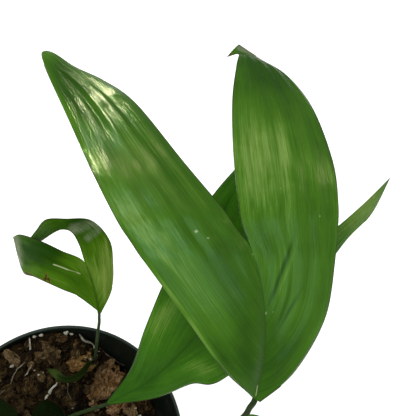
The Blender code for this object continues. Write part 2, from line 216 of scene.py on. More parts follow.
pot_plastic, tree, inputs = finish("pot plastic", (0.008, 0.013, 0.01), 0.42, 0.16)
place = object_place(tree)
height = add(tree, "SeparateXYZ", Vector=place)
lip = spread(height.outputs["Z"], PALE_LIP_FROM * MM, PALE_LIP_TO * MM)
dust = grain(place, 90, detail=6)
smears = spread(grain(place, 22, stretch=(1, 1, 0.35)), 0.45, 0.75, 0, 0.7)
wall = blend(smears, (0.005, 0.009, 0.006), (0.016, 0.023, 0.015))
dusty = blend(spread(dust, 0.58, 0.72, 0, 0.5), wall, (0.05, 0.045, 0.035))
feed(inputs["Base Color"], blend(lip, dusty, (0.05, 0.064, 0.052)))
feed(inputs["Roughness"], spread(dust, 0.35, 0.7, 0.34, 0.6))
raise_grain(inputs, dust, 0.06)
pot.data.materials.append(pot_plastic)
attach(pot, "root")
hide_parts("pot")


# The bark potting mix
# Damp, crumbled bark and roots that fill the pot, dark brown, with near-black parts between the chips
# that are painted shade. It is heaped nearly to the lip at the back left and has sunk by a quarter of
# the pot's height towards the right.
MIX_TOP = 141
MIX_FALL = 36
MIX_FALL_HEADING = math.radians(-20)
MIX_FALL_START, MIX_FALL_END = -35, 25
MIX_SWELL, SWELL_BREADTH = 1.5, 14
MIX_RINGS = 84
MIX_FACETS = 200
MIX_UNDERSIDE = 2.3
MIX_UNDERSIDE_RADIUS = 55
MIX_SURFACE_FROM = 100
MIX_SETTLE = 1.2
RIM_GAP = 0.4
WALL_GAP = 0.6
WALL_FOOT, WALL_FLARE = 56.4, 21.4
# Height and breadth of each kind of lump, and the slice of noise that they are read from
CLODS, PITS, CRUMBS, GRIT = (2.2, 8), (1.6, 4.5), (1.3, 2.4), (0.5, 1.2)
LUMP_SLICE = 40


def wall_radius(height):
    """The pot's inside radius at a height, in millimetres."""
    return WALL_FOOT + WALL_FLARE * height / POT_HEIGHT


def ease(value, low, high):
    """A soft step from 0 at low to 1 at high."""
    share = min(max((value - low) / (high - low), 0), 1)
    return share * share * (3 - 2 * share)


def mix_height(x, y):
    """The height of the heaped mix without its crumbs, in millimetres."""
    along = x * math.cos(MIX_FALL_HEADING) + y * math.sin(MIX_FALL_HEADING)
    swell = MIX_SWELL * noise.noise(Vector((x, y, 0)) / SWELL_BREADTH)
    return MIX_TOP - MIX_FALL * ease(along, MIX_FALL_START, MIX_FALL_END) + swell


def lumps(kind, spot):
    height, breadth = kind
    return height * noise.noise(spot / breadth)


def crumbs(x, y):
    """Clods and crumbs: broad lumps with sharper pits between small ones."""
    spot = Vector((x, y, LUMP_SLICE))
    clods = lumps(CLODS, spot) - abs(lumps(PITS, spot))
    return clods + lumps(CRUMBS, spot) + lumps(GRIT, spot)


rim_of_mix = wall_radius(MIX_TOP) - RIM_GAP
bed_rings = [(rim_of_mix * (1 - i / MIX_RINGS), MIX_TOP) for i in range(MIX_RINGS)]
bed = draw_up("potting_mix_bed", MIX_FACETS, MIX_UNDERSIDE_RADIUS, MIX_UNDERSIDE, bed_rings)
for vert in bed.data.vertices:
    if vert.co.z < MIX_SURFACE_FROM * MM:
        continue
    x, y = vert.co.x / MM, vert.co.y / MM
    reach = math.hypot(x, y) / rim_of_mix
    level = mix_height(x, y)
    draw_in = 1 - reach + reach * (wall_radius(level) - WALL_GAP) / rim_of_mix
    vert.co = Vector((x * draw_in, y * draw_in, level + crumbs(x, y) - MIX_SETTLE)) * MM
smooth_by_angle(bed, 40)

damp_bark_and_painted_shade, tree, inputs = finish("damp bark mix", (0.03, 0.017, 0.007), 0.9, 0.12)
place = object_place(tree)
coarse = grain(place, 210, detail=8, rough=0.7)
fine = grain(place, 700, detail=4, rough=0.7)
# The near-black parts between the chips are painted shade
earth = blend(spread(coarse, 0.4, 0.66), (0.003, 0.0015, 0.0007), (0.05, 0.027, 0.009))
feed(inputs["Base Color"], blend(spread(fine, 0.6, 0.72, 0, 0.7), earth, (0.2, 0.125, 0.055)))
raise_grain(inputs, coarse, 1.6)
bed.data.materials.append(damp_bark_and_painted_shade)
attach(bed, "root")
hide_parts("potting_mix")


# Bark chips on the mix
# Flat, broken flakes of pine bark, 2 to 36 mm long, lying every way on the mix. The large ones are
# tan-grey where they have dried, and orange or red-brown where they are freshly broken.
CHIP_SEED = 11
# x, y, length, width, thickness, heading in degrees, and tone: 0 dark, 0.5 brown, 1 tan-grey
LAID_CHIPS = [
    (-37, 58, 17, 9, 3, 8, 0.85), (-17, 63, 18, 14, 4, 70, 0.62), (-11, 58, 12, 7, 3, 15, 0.6),
    (-7, 54, 18, 11, 3, 170, 0.42), (6, 66, 17, 8, 3, 155, 0.5), (-24, 38, 16, 13, 4, 100, 0.3),
    (-40, 34, 17, 11, 3, 140, 0.45), (-30, 27, 15, 9, 3, 30, 0.35), (43, 41, 16, 9, 3, 150, 0.95),
    (48, 26, 19, 12, 4, 115, 0.85), (-44, 48, 12, 8, 3, 50, 0.3), (52, 10, 17, 10, 4, 95, 0.85),
    (40, 15, 15, 10, 4, 20, 0.75), (-5, 72, 11, 6, 3, 5, 0.5), (20, 60, 14, 7, 3, 155, 0.4),
    (-14, 44, 14, 9, 3, 150, 0.5), (2, 30, 15, 9, 3, 60, 0.4), (-3, 36, 11, 7, 3, 20, 0.5),
    (30, 58, 12, 7, 3, 140, 0.7),
]
FRESH_CHIPS = [(9.5, 56, 27, 13, 5, 72, 0.75), (14, 61, 9, 6, 3, 60, 0.9), (4, 46, 9, 6, 3, 95, 0.75)]
RED_CHIPS = [(29, 46, 36, 28, 7, 118, 0.6), (38, 29, 20, 14, 5, 80, 0.6), (21, 32, 18, 12, 4, 45, 0.55)]
SMALL_CHIPS = 420
FINE_CHIPS = 900
# Longest and shortest, and how far a chip keeps off the wall, as a share of its length
SMALL_SIZES, FINE_SIZES = (12, 5), (5, 1.8)
WALL_SHARE = 0.5
SCATTER_RADIUS = 78
# Width and thickness of a scattered chip, as shares of its length
WIDTH_SHARES, THICKNESS_SHARES = (0.35, 0.8), (0.14, 0.3)
SCATTER_TONE, TONE_LEAN = 0.8, (1.3, 2.6)
FLAKE_THICKNESS = 0.7
RAGGED, CORNER_LOSS = 0.7, 0.22
TOP_SHORTER, TOP_NARROWER = 0.06, 0.1
RIDGE_RISE, LAYER_RISE, FLAKE_BOW = 0.35, 0.4, 1.2
CHIP_TILT, CHIP_SINK, SLOPE_REACH = 0.5, 0.4, 4
# Millimetres of a chip to one unit of its grain map
GRAIN_TILE = 10


def named_map(mesh, name):
    layer = mesh.uv_layers.active or mesh.uv_layers.new(name=name)
    layer.name = name
    return layer.data


def flake(draw, along, across, coarse):
    """One broken flake a unit long: ragged at its ends, ridged and stepped along its fibres."""
    deselect_all()
    bpy.ops.mesh.primitive_grid_add(x_subdivisions=along, y_subdivisions=across, size=1)
    chip = bpy.context.object
    edit_all(chip)
    bpy.ops.mesh.extrude_region_move(TRANSFORM_OT_translate={"value": (0, 0, FLAKE_THICKNESS)})
    face_outwards()
    sample = Vector((draw.uniform(0, 90), draw.uniform(0, 90), 0))

    def uneven(*place):
        return noise.noise(sample + Vector(place))

    for vert in chip.data.vertices:
        x, y, top = vert.co.x, vert.co.y, vert.co.z > FLAKE_THICKNESS / 2
        ends = 1 - RAGGED * abs(uneven(5 * math.copysign(1, x), 4.5 * y, 0))
        sides = 1 - RAGGED * abs(uneven(3.2 * x, 9 * math.copysign(1, y), 4))
        corner = 1 - CORNER_LOSS * (4 * abs(x * y)) ** 2
        ridges = uneven(1.4 * x, 11 * y, 8)
        layers = round(2.2 * uneven(2.4 * x, 2.8 * y, 12)) / 2
        bow = FLAKE_BOW * uneven(0.9 * x, 0.9 * y, 20)
        vert.co.x = x * ends * corner * (1 - TOP_SHORTER * top)
        vert.co.y = y * sides * corner * (1 - TOP_NARROWER * top)
        rise = RIDGE_RISE * ridges + LAYER_RISE * layers
        vert.co.z += bow - 0.5 + top * rise + draw.uniform(-coarse, coarse)
    grain_map = named_map(chip.data, "grain")
    for loop in chip.data.loops:
        spot = chip.data.vertices[loop.vertex_index].co
        grain_map[loop.index].uv = (spot.x, spot.y + 0.3 * spot.z)
    return chip


def paint_tone(piece, tone):
    shade = piece.data.attributes.new("tone", "FLOAT", "POINT")
    for value in shade.data:
        value.value = tone


def new_object(name, data):
    made = bpy.data.objects.new(name, data)
    bpy.context.scene.collection.objects.link(made)
    return made


def join_pieces(name, pieces):
    """Joins the pieces as one mesh with a name of its own."""
    select_only(*pieces)
    bpy.ops.object.join()
    joined = bpy.context.object
    joined.name = joined.data.name = name
    return joined


def lay_chips(name, shapes, places, surface, draw):
    """Lays copies of the flakes, each with its own tone, a little way into the mix as one piece."""
    laid = []
    for number, (x, y, length, width, thickness, heading, tone) in enumerate(places):
        chip = new_object(name, draw.choice(shapes).data.copy())
        fall_x = mix_height(x - SLOPE_REACH, y) - mix_height(x + SLOPE_REACH, y)
        fall_y = mix_height(x, y - SLOPE_REACH) - mix_height(x, y + SLOPE_REACH)
        slope = Vector((fall_x, fall_y, 2 * SLOPE_REACH)).normalized()
        tilt = Vector((draw.uniform(-CHIP_TILT, CHIP_TILT), draw.uniform(-CHIP_TILT, CHIP_TILT), 0))
        lie = (slope + tilt).to_track_quat("Z", "Y").to_matrix().to_4x4()
        spot = Vector((x, y, mix_height(x, y) + draw.uniform(-0.1, 0.5) * thickness - CHIP_SINK)) * MM
        size = Matrix.Diagonal((length * MM, width * MM, thickness * MM, 1))
        turn = Matrix.Rotation(math.radians(heading), 4, "Z")
        chip.data.transform(Matrix.Translation(spot) @ lie @ turn @ size)
        for loop in chip.data.uv_layers["grain"].data:
            u, v = loop.uv.x * length / GRAIN_TILE, loop.uv.y * width / GRAIN_TILE
            loop.uv = (u + number, v + 3 * number)
        paint_tone(chip, tone)
        laid.append(chip)
    pile = join_pieces(name, laid)
    pile.data.materials.append(surface)
    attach(pile, "root")


def scattered(draw, count, longest, shortest):
    """Seeded places over the mix for small chips, clear of the pot's wall."""
    places = []
    while len(places) < count:
        radius = SCATTER_RADIUS * math.sqrt(draw.random())
        angle = draw.uniform(0, 2 * math.pi)
        x, y = radius * math.cos(angle), radius * math.sin(angle)
        length = draw.uniform(shortest, longest)
        if radius + WALL_SHARE * length > wall_radius(mix_height(x, y)):
            continue
        width = length * draw.uniform(*WIDTH_SHARES)
        thickness = length * draw.uniform(*THICKNESS_SHARES)
        heading = draw.uniform(0, 180)
        tone = SCATTER_TONE * draw.betavariate(*TONE_LEAN)
        places.append((x, y, length, width, thickness, heading, tone))
    return places


def join_values(operation, first, second):
    """A socket joined with another one, or with a number, by a Math node."""
    node = add(first.id_data, "Math", operation=operation)
    feed(node.inputs[0], first)
    feed(node.inputs[1], second)
    return node.outputs["Value"]


def plus(first, second):
    return join_values("ADD", first, second)


def times(first, second):
    return join_values("MULTIPLY", first, second)


def map_place(tree, name):
    return add(tree, "UVMap", uv_map=name).outputs["UV"]


def painted_value(tree, name):
    return add(tree, "Attribute", attribute_name=name).outputs["Fac"]


def bark_finish(name, dark, brown, pale):
    """Rough layered bark: the tone picks between dark, brown and pale, in fibres along each flake, with
    dark pits and pale flecks that are painted glints.
    """
    made, tree, inputs = finish(name, brown, 0.85, 0.12)
    along, place = map_place(tree, "grain"), object_place(tree)
    fibres = grain(along, 1, detail=5, rough=0.7, stretch=(2.2, 14, 1))
    blotches = grain(place, 170, detail=6, rough=0.75)
    pits_and_glints = grain(place, 900, detail=3, rough=0.6)
    mottled = plus(spread(fibres, 0.3, 0.7, -0.34, 0.34), spread(blotches, 0.35, 0.65, -0.34, 0.34))
    total = plus(mottled, painted_value(tree, "tone"))
    toned = blend(spread(total, 0.5, 1), blend(spread(total, 0, 0.5), dark, brown), pale)
    pitted = blend(spread(pits_and_glints, 0.32, 0.46, 0.8, 0), toned, dark)
    # Pale flecks: painted glints
    feed(inputs["Base Color"], blend(spread(pits_and_glints, 0.62, 0.7, 0, 0.45), pitted, pale))
    raise_grain(inputs, fibres, 1.2)
    return made


draw = random.Random(CHIP_SEED)
broad_flakes = [flake(draw, 18, 12, 0.07) for _ in range(7)]
small_flakes = [flake(draw, 4, 3, 0.15) for _ in range(8)]
old_bark = bark_finish("old bark", (0.01, 0.005, 0.002), (0.072, 0.041, 0.014), (0.27, 0.18, 0.09))
fresh_bark = bark_finish("fresh bark", (0.06, 0.024, 0.006), (0.26, 0.125, 0.032), (0.5, 0.3, 0.12))
red_bark = bark_finish("red bark", (0.045, 0.02, 0.006), (0.23, 0.115, 0.04), (0.55, 0.37, 0.22))
lay_chips("large_bark_chips", broad_flakes, LAID_CHIPS, old_bark, draw)
lay_chips("fresh_bark_chips", broad_flakes, FRESH_CHIPS, fresh_bark, draw)
lay_chips("red_bark_chips", broad_flakes, RED_CHIPS, red_bark, draw)
lay_chips("small_bark_chips", small_flakes, scattered(draw, SMALL_CHIPS, *SMALL_SIZES), old_bark, draw)
lay_chips("fine_bark_chips", small_flakes, scattered(draw, FINE_CHIPS, *FINE_SIZES), old_bark, draw)
for pattern in broad_flakes + small_flakes:
    bpy.data.objects.remove(pattern)


# Sticks, roots and grains
# Bleached splinters, a few thin roots and white grains of pumice lie loose on the bark. They are
# pressed into the mix where they touch it.
# x, y, length, heading in degrees, thickness, and lift of the far end
STICKS = [
    (-10.5, 36, 14, 58, 2, 1), (-36, 44, 26, 56, 1, 1.5), (14, 71, 16, -30, 1.7, 0.5),
    (-26, 66, 11, 98, 1.3, 1), (-26, 49, 9, 60, 0.9, 0.5), (1, 38, 15, -68, 0.8, 1.5),
    (42, 13, 12, 82, 1, 2), (35, 62, 22, -28, 1.3, 1), (-16, 24, 12, 40, 0.8, 0.5),
]
STICK_TONES = [1, 0.55, 0.75, 0.9, 0.5, 0.4, 0.7, 0.1, 0.5]
# x, y, size, and height of the middle over the mix
# The grain at 19.4, 40.6 is put where the big chip shows a glint: a painted highlight
GRAINS = [
    (-37, 52, 3.2, 2.2), (-23.5, 72, 3.2, 1.4), (-19, 73.2, 3.4, 1.2), (-2, 75, 3.8, 1.4),
    (1.8, 74.7, 2.8, 1.2), (16.2, 59.1, 2.8, 4.6), (20.9, 63.1, 2.4, 1.4), (12.5, 59.5, 1.6, 5.4),
    (19.4, 40.6, 1.5, 5.4), (32.4, 34.3, 2.2, 1.4), (23, 66, 1.6, 1.4), (55, 20, 4.5, 1.2),
    (58, 18, 4, 1.2), (-19, 46, 2, 2.2), (5, 26, 2.6, 1.2), (-12, 27, 2, 1.6), (52, 26, 2.2, 3.4),
    (-22, 49, 1.4, 2.6), (-16, 47.5, 1.2, 2.4),
]
GRAIN_TONE = 0.9
GRAIN_RADIUS, GRAIN_KNOCKS = 0.85, 0.8
GRAIN_SHAPE = Vector((1, 0.7, 0.6))
STICK_REST = 1.6
STICK_FACETS, STICK_CUTS = 6, 7
STICK_TAPER, STICK_KNOTS = 0.75, 0.9
# Millimetres, and more for each one of length
STICK_BOW, BOW_GROWTH = 0.6, 0.07


def stick(x, y, length, heading, thickness, lift):
    """A split splinter: a thin six-sided rod, slimmer towards its ends and bent a little."""
    deselect_all()
    bpy.ops.mesh.primitive_cylinder_add(vertices=STICK_FACETS, radius=0.5, depth=1)
    splinter = bpy.context.object
    edit_all(splinter)
    bpy.ops.mesh.subdivide(number_cuts=STICK_CUTS)
    bpy.ops.object.mode_set(mode="OBJECT")
    along = Vector((math.cos(math.radians(heading)), math.sin(math.radians(heading)), 0))
    across = Vector((-along.y, along.x, 0))
    for vert in splinter.data.vertices:
        share = vert.co.z
        spot = Vector((x, y, 0)) + along * share * length
        rough = noise.noise(Vector((x, 14 * share, 3)))
        slim = thickness * (1 - STICK_TAPER * abs(share * 2) ** 3) * (1 + STICK_KNOTS * rough)
        bow = (STICK_BOW + BOW_GROWTH * length) * noise.noise(Vector((x + 2.5 * share, y, 7)))
        level = mix_height(spot.x, spot.y) + STICK_REST + lift * (share + 0.5) + slim * vert.co.x
        spot += across * (vert.co.y * slim + bow)
        vert.co = Vector((spot.x, spot.y, level)) * MM
    return splinter


litter = []
for shape, tone in zip(STICKS, STICK_TONES):
    splinter = stick(*shape)
    paint_tone(splinter, tone)
    litter.append(splinter)
for x, y, size, lift in GRAINS:
    deselect_all()
    bpy.ops.mesh.primitive_ico_sphere_add(subdivisions=2, radius=GRAIN_RADIUS)
    pebble = bpy.context.object
    for vert in pebble.data.vertices:
        knocked = vert.co * (1 + GRAIN_KNOCKS * noise.noise(vert.co * 1.7 + Vector((x, y, size))))
        spot = Vector((x, y, mix_height(x, y) + lift)) + knocked * GRAIN_SHAPE * size / 2
        vert.co = spot * MM
    paint_tone(pebble, GRAIN_TONE)
    litter.append(pebble)
for piece in litter:
    named_map(piece.data, "grain")
splinters = join_pieces("sticks_and_grains", litter)
smooth_by_angle(splinters, 25)
bleached = bark_finish("bleached wood", (0.06, 0.045, 0.03), (0.3, 0.25, 0.17), (0.74, 0.7, 0.6))
splinters.data.materials.append(bleached)
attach(splinters, "root")


# The canes
# Two short green stems, ringed with swollen leaf scars. They stand rooted in the mix, and the
# petioles come out of their tops.
# x, y, and height above the mix
CANES = {"cane_a": (2, -26, 32), "cane_b": (-31, -2, 17)}
CANE_FACETS = 40
CANE_RADIUS = 6.5
CANE_FOOT_SHARE = 0.8
CANE_DEPTH = 20
# Radius as a share of the widest, and height as a share of the height above the mix
CANE_RINGS = [
    (0.86, 0), (0.9, 0.07), (0.99, 0.1), (0.98, 0.13), (0.88, 0.16), (0.87, 0.32), (0.9, 0.5),
    (0.96, 0.58), (1.04, 0.61), (1.03, 0.64), (0.94, 0.67), (0.95, 0.85), (0.99, 0.95), (0.93, 0.985),
    (0.8, 1),
]


def stem_finish(name, green, brown):
    """Waxy green stem with brown, fibrous streaks that run up it."""
    made, tree, inputs = finish(name, green, 0.5, 0.12)
    fibres = grain(object_place(tree), 120, detail=5, stretch=(6, 6, 0.4))
    feed(inputs["Base Color"], blend(spread(fibres, 0.42, 0.68), green, brown))
    raise_grain(inputs, fibres, 0.25)
    return made


cane_skin = stem_finish("cane skin", (0.045, 0.085, 0.018), (0.13, 0.1, 0.045))
for name, (x, y, cane_height) in CANES.items():
    ground = mix_height(x, y)
    rings = [(CANE_RADIUS * radius, ground + cane_height * share) for radius, share in CANE_RINGS]
    cane = draw_up(name + "_stem", CANE_FACETS, CANE_RADIUS * CANE_FOOT_SHARE, ground - CANE_DEPTH, rings)
    for vert in cane.data.vertices:
        vert.co += Vector((x, y, 0)) * MM
    smooth_by_angle(cane, 50)
    cane.data.materials.append(cane_skin)
    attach(cane, "root")
    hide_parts(name)


# Frond A
# The largest leaf: a long petiole, and a blade forked into two lobes that follow shallow pleats. It
# is glossy on top, with a thin purple-brown margin, and the right lobe ends in a small bent hook.
BLADE_THICKNESS = 0.5
SIDES = ("left", "right")
# Values painted on a blade: how much paler or darker, partly its own tone and partly painted sheen and
# painted shade, the ways to its margin and midrib, and its three marks, of which the grey one is painted
# sheen
PAINTED = ("tone", "margin", "rib", "pale", "grey", "dry")
# What most leaves share. For the left and right half: the pleats' depth, how much of the tip is cut
# off, and creases.
LEAF = {
    "pleats": 4.5,
    "depth": (0.4, 0.4),
    "belly": 0.05,
    "groove": 1,
    "cut": (0.03, 0.03),
    "creases": ((), ()),
    "tone_sheen_and_shade_patches": (),
    "marks": {},
}
# Points as x, y and height: the petiole, the midrib, and each lobe's outer and inner edge. Then the
# stalk's radii, rows and columns of half a blade, and steps along the stalk.
LEAF_A = {
    **LEAF,
    "petiole": [
        (4, -27, 134), (14, -26.5, 168), (34, -22, 202), (57, -13.5, 234), (76, -3, 261), (83.5, 3.6, 274),
    ],
    "rachis": [(86.2, 10.5, 288), (89, 32, 299), (88, 55, 307), (83, 77, 311.5)],
    "left_edge": [
        (84.2, 12.4, 288), (68, 24, 296.5), (48, 47, 306), (29, 70, 312.5), (22, 80, 314), (15, 91, 314.5),
        (3, 117, 312.5), (-8, 146, 307), (-17, 171, 300), (-22, 185, 296.5), (-25.2, 196, 293.5),
        (-25.4, 202.3, 292),
    ],
    "left_lobe": [
        (73.8, 92, 312.2), (68, 101.5, 312), (50, 128, 308.5), (26, 165, 303), (9, 181, 298.5),
        (-7, 189.7, 296.5), (-18.5, 199.3, 294), (-25.4, 202.3, 292),
    ],
    "right_edge": [
        (88.2, 9.4, 288), (105, 23, 296), (120, 47, 305), (127, 75, 310.5), (130.5, 91, 312),
        (133, 107, 312.8), (134, 133, 312), (128, 168, 309.5), (117, 193, 305), (103, 206, 301),
        (90.2, 219.3, 297), (80, 229, 293),
    ],
    "right_lobe": [
        (78, 92.5, 312.2), (77, 108, 312), (77, 137, 310.5), (80, 171, 307), (86, 199, 302),
        (89.3, 211, 298), (83.6, 211.8, 293),
    ],
    "radii": [2.2, 2.05, 1.9, 1.8, 1.65, 1.6, 1.5, 1.1, 0.9, 0.6],
    "grid": (220, 60),
    "steps": 140,
    "depth": (0.35, 0.45),
    "cut": (0.35, 0.03),
    # Creases along the veins: place across the half blade, width, depth, first and last station
    "creases": (
        [(0.62, 0.05, 1, 6.2, 9), (0.3, 0.05, 0.7, 6, 8.6), (0.45, 0.04, 0.3, 2.6, 5.5)],
        [(0.3, 0.045, 1.1, 1.6, 4.2), (0.16, 0.03, 0.5, 4, 6.5), (0.45, 0.03, 0.4, 1.2, 3)],
    ),
    # x, y, half length, half width, heading in degrees, and how much paler it is there. The paler patches
    # are partly painted sheen and highlights, and the darker ones partly painted shade.
    "tone_sheen_and_shade_patches": [
        (93, 136, 38, 17, 96, 0.55), (82.5, 116, 26, 6, 90, 0.4), (90, 104, 12, 5, 90, 0.25),
        (104, 186, 26, 18, 75, -0.4), (91, 172, 10, 6, 95, -0.1), (104, 135, 22, 2.2, 88, 0.5),
        (118, 132, 14, 2, 95, 0.4), (130, 125, 9, 1.6, 98, 0.4), (131, 95, 30, 2.5, 83, 0.35),
        (106, 30, 30, 2.5, 50, 0.3), (103, 100, 16, 2, 80, 0.3), (97, 69, 14, 0.8, 67, -1.3),
        (99.3, 68, 12, 0.7, 67, 0.35), (101, 51, 8, 0.8, 58, -0.7), (86, 95, 18, 3, 92, -0.25),
        (90, 86, 18, 2.4, 95, -0.25), (96, 62, 26, 6, 100, 0.2), (101, 44, 14, 4, 70, 0.2),
        (112, 62, 30, 10, 75, 0.1), (-13, 158, 24, 3, 113, 0.5), (3, 125, 14, 3, 128, 0.5),
        (11, 140, 14, 5, 155, 0.25), (16, 160, 24, 6, 125, 0.2), (-8, 163, 24, 3, 126, -0.5),
        (10, 162, 20, 2.6, 140, -0.4), (37, 86, 34, 9, 137, 0.3), (25, 88, 14, 8, 130, 0.15),
        (39, 71, 16, 2, 136, 0.35), (58, 56, 26, 10, 118, 0.35), (84, 24, 14, 2.5, 95, 0.1),
        (50, 110, 30, 8, 125, 0.05), (96, 36, 16, 9, 80, -0.3), (78, 32, 20, 5, 105, -0.2),
        (-14, 184, 12, 6, 120, -0.5), (-22, 198, 7, 7, 120, 0.5), (-20, 180, 14, 2.5, 110, 0.5),
        (95, 200, 16, 14, 90, -0.3), (58, 35, 16, 1.5, 130, 0.8), (39, 58, 16, 1.5, 130, 0.7),
        (73, 62, 26, 7, 112, -0.3), (30, 84, 30, 6, 128, 0.2), (17, 98, 12, 5, 120, 0.4),
        (82, 24, 22, 12, 105, -0.25), (100, 24, 20, 10, 55, -0.35), (55, 72, 18, 7, 118, -0.3),
        (66, 30, 14, 6, 125, -0.4), (64, 66, 16, 6, 115, -0.2), (45, 42, 14, 4, 130, 0.3),
    ],
    # Marks as lines: x and y of both ends, and half the width
    "marks": {
        "pale": [
            (53, 86, 53.6, 86.4, 0.8), (59, 83, 59.3, 83.2, 0.6), (89, 49, 89.2, 49.1, 0.6),
            (92, 49, 92.2, 49, 0.5), (82.5, 76.5, 82.6, 76.8, 0.6), (120, 98, 120.1, 98.2, 0.4),
            (85.9, 12, 86.3, 17, 0.3),
        ],
        # Grey: a painted glancing reflection along the right lobe's top edge near the tip
        "grey": [(91, 216, 102, 206.5, 2), (102, 206.5, 116, 197, 2.6)],
        "dry": [(83.8, 211.5, 85, 213, 1), (88, 219, 84, 220, 0.35)],
    },
}
# How the veins fan out from the midrib, and where the right half's vein map begins
FAN, RIGHT_MAP = 1.7, 3
FULL_PLEAT_WIDTH, GROOVE_WIDTH = 34, 4
# Where a lobe begins and ends to come free of the midrib, in stations from the fork
FREE_FROM, FREE_TO = -0.2, 0.5
# The margin of a wide blade turns down
TURNED_FROM, TURNED_BY, TURNED_WIDTH = 0.94, 0.8, 12
FAR = 30
BLADE_WELD, STALK_WELD = 0.03, 0.01
STALK_GAP, NECK_SHARE = 0.35, 0.45
GLOSS_TINT = (1, 1, 0.72)
MARGIN_BROWN = (0.022, 0.014, 0.006)
# Colour of the grey marks, a painted sheen
GREY_SHEEN = (0.23, 0.27, 0.16)
YELLOWED, DRIED = (0.2, 0.17, 0.03), (0.045, 0.026, 0.004)
PALE_SPOT = (0.5, 0.56, 0.3)


def along_curve(points, place):
    """The value at a place, counted in points, on a Catmull-Rom curve through points or numbers."""
    last = len(points) - 1
    i = min(int(place), last - 1)
    f = place - i
    p1, p2 = points[i], points[i + 1]
    p0 = points[i - 1] if i > 0 else 2 * p1 - p2
    p3 = points[i + 2] if i + 2 <= last else 2 * p2 - p1
    return 0.5 * (
        2 * p1 + (p2 - p0) * f + (2 * p0 - 5 * p1 + 4 * p2 - p3) * f**2 + (3 * p1 - p0 - 3 * p2 + p3) * f**3
    )


def points_of(leaf, kind):
    return [np.array(point, float) for point in leaf[kind]]


def fork_point(leaf):
    return (points_of(leaf, "left_lobe")[0] + points_of(leaf, "right_lobe")[0]) / 2


def half_blade(leaf, side):
    """Half of a blade: a grid laid between the midrib and lobe edge and the outer edge."""
    rows, columns = leaf["grid"]
    depth, cut, creases = (leaf[key][SIDES.index(side)] for key in ("depth", "cut", "creases"))
    rachis, edge = points_of(leaf, "rachis"), points_of(leaf, side + "_edge")
    inner = rachis + points_of(leaf, side + "_lobe")
    midrib = rachis + [fork_point(leaf)]
    fork = len(rachis) - 1
    end = len(inner) - 1 - cut
    fork_row = round(rows * fork / end) / rows
    up = 1 if side == "left" else -1
    stations = {}

    def station(share):
        """The midrib or lobe edge, the outer edge, the upward normal and the width of one row."""
        if share not in stations:
            if share <= fork_row:
                place = fork * share / fork_row
            else:
                place = fork + (end - fork) * (share - fork_row) / (1 - fork_row)
            rib = along_curve(midrib if place <= fork else inner, place)
            rim = along_curve(edge, place)
            ahead, behind = min(place + 0.3, end), max(place - 0.3, 0)
            forward = along_curve(inner, ahead) + along_curve(edge, ahead)
            forward -= along_curve(inner, behind) + along_curve(edge, behind)
            normal = np.cross(forward, rim - rib) * up
            stations[share] = (place, rib, rim, normal / np.linalg.norm(normal), np.linalg.norm(rim - rib))
        return stations[share]

    deselect_all()
    bpy.ops.mesh.primitive_grid_add(x_subdivisions=columns, y_subdivisions=rows, size=2)
    half = bpy.context.object
    mesh = half.data
    for name in PAINTED:
        mesh.attributes.new(name, "FLOAT", "POINT")
    margin, rib_near = mesh.attributes["margin"].data, mesh.attributes["rib"].data
    vein = {}
    for vert in mesh.vertices:
        across = (vert.co.x + 1) / 2
        place, rib, rim, normal, width = station(round((vert.co.y + 1) / 2, 6))
        free = ease(place, fork + FREE_FROM, fork + FREE_TO)
        line = 1 - (1 - across) * (1 - (1 - min(place / fork, 1)) ** FAN)
        wave = 0.5 - 0.5 * math.cos(2 * math.pi * leaf["pleats"] * line)
        fade = min(width / FULL_PLEAT_WIDTH, 1) ** 1.5 * min(across * width / (7 - 4 * free), 1)
        lift = leaf["belly"] * width * 4 * across * (1 - across) + depth * fade * wave
        trough = math.exp(-((across * width / GROOVE_WIDTH) ** 2))
        lift += leaf["groove"] * (1 - 0.9 * free) * (1 - trough)
        for at, wide, deep, first, last in creases:
            reach = ease(place, first, first + 0.7) * (1 - ease(place, last - 0.7, last))
            lift -= deep * reach * math.exp(-(((line - at) / wide) ** 2))
        if width > TURNED_WIDTH:
            lift -= TURNED_BY * max(across - TURNED_FROM, 0) / (1 - TURNED_FROM)
        vert.co = Vector(rib * (1 - across) + rim * across + normal * lift) * MM
        vein[vert.index] = (line + (0 if side == "left" else RIGHT_MAP), place)
        margin[vert.index].value = min((1 - across) * width, across * width + FAR * (1 - free))
        rib_near[vert.index].value = across * width + FAR * free
    vein_map = named_map(mesh, "veins")
    for loop in mesh.loops:
        vein_map[loop.index].uv = vein[loop.vertex_index]
    if side == "left":
        edit_all(half)
        bpy.ops.mesh.flip_normals()
        bpy.ops.object.mode_set(mode="OBJECT")
    return half


def on_mark(x, y, mark):
    """How far a place lies within a mark, from 1 on its line to 0 away from it."""
    x1, y1, x2, y2, reach = mark
    run = ((x2 - x1) ** 2 + (y2 - y1) ** 2) or 1
    share = min(max(((x - x1) * (x2 - x1) + (y - y1) * (y2 - y1)) / run, 0), 1)
    away = math.hypot(x - x1 - share * (x2 - x1), y - y1 - share * (y2 - y1))
    return math.exp(-((away / reach) ** 2))


